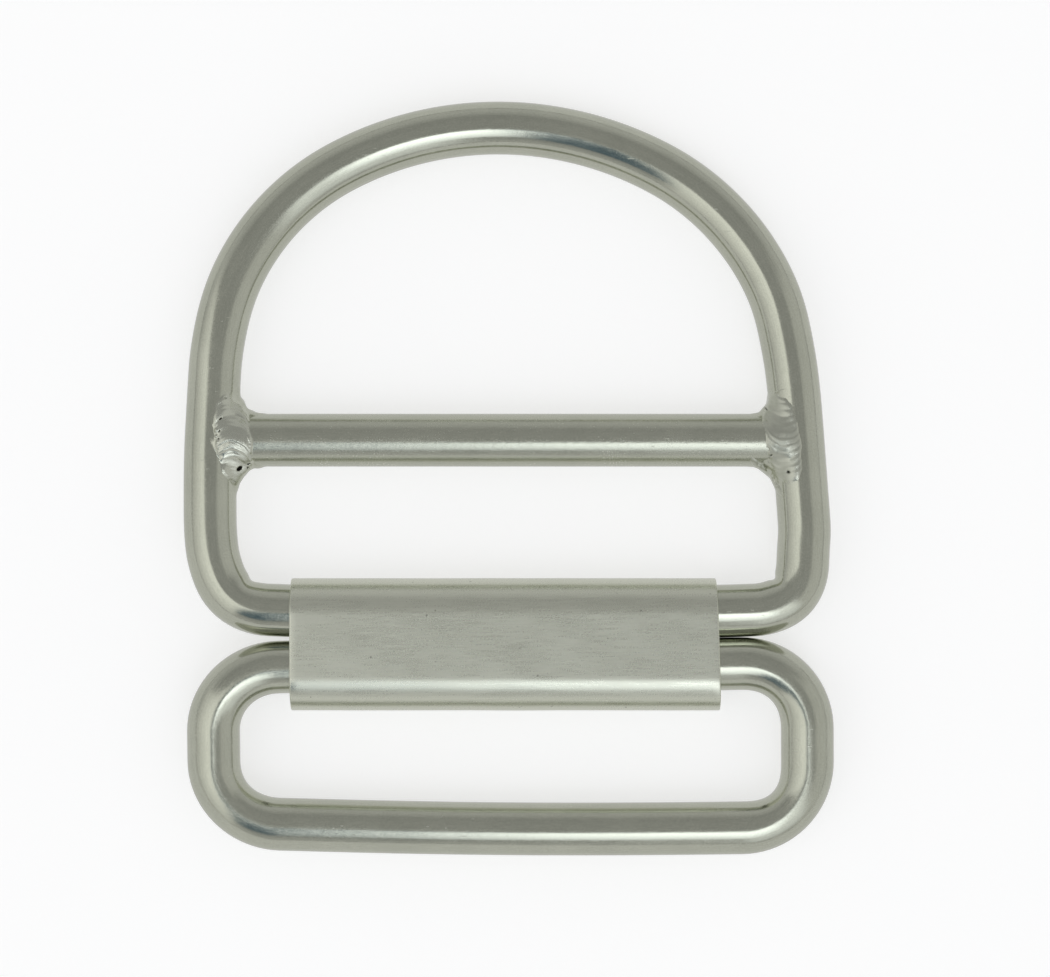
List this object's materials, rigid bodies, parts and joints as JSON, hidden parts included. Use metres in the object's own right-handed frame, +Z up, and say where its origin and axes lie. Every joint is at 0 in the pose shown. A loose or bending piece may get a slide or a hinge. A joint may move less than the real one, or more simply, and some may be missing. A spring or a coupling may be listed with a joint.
{
  "type": "hinged d ring",
  "caption": "Hinged webbing D-ring: a welded wire D with a crossbar and a rectangular slide ring, each swinging on a bar held in a folded sheet sleeve.",
  "frame": {"origin": "on the ground under the middle of the fitting's outline as it lies open and flat", "axes": "+X along the two hinge bars, +Y from the slide ring to the D's crown, +Z up out of the face that the picture shows"},
  "size_m": [0.061, 0.0712, 0.0065],
  "materials": {
    "ring_wire": "tumbled satin stainless wire with a soft lengthwise grain and bare welds",
    "sleeve_sheet": "mill-finished stainless sheet, brushed along its length"
  },
  "bodies": {
    "sleeve": {"sleeve": "sleeve_sheet"},
    "d_ring": {"d_ring": "ring_wire"},
    "slide_ring": {"slide_ring": "ring_wire"}
  },
  "joints": [
    {"name": "d_hinge", "type": "hinge", "parent": "sleeve", "child": "d_ring", "pos_m": [0, -0.01241, 0.00325], "axis": [1, 0, 0], "range_deg": [-88.1, 89.9]},
    {"name": "slide_hinge", "type": "hinge", "parent": "sleeve", "child": "slide_ring", "pos_m": [0, -0.01771, 0.00325], "axis": [1, 0, 0], "range_deg": [-91.8, 86.2]}
  ]
}
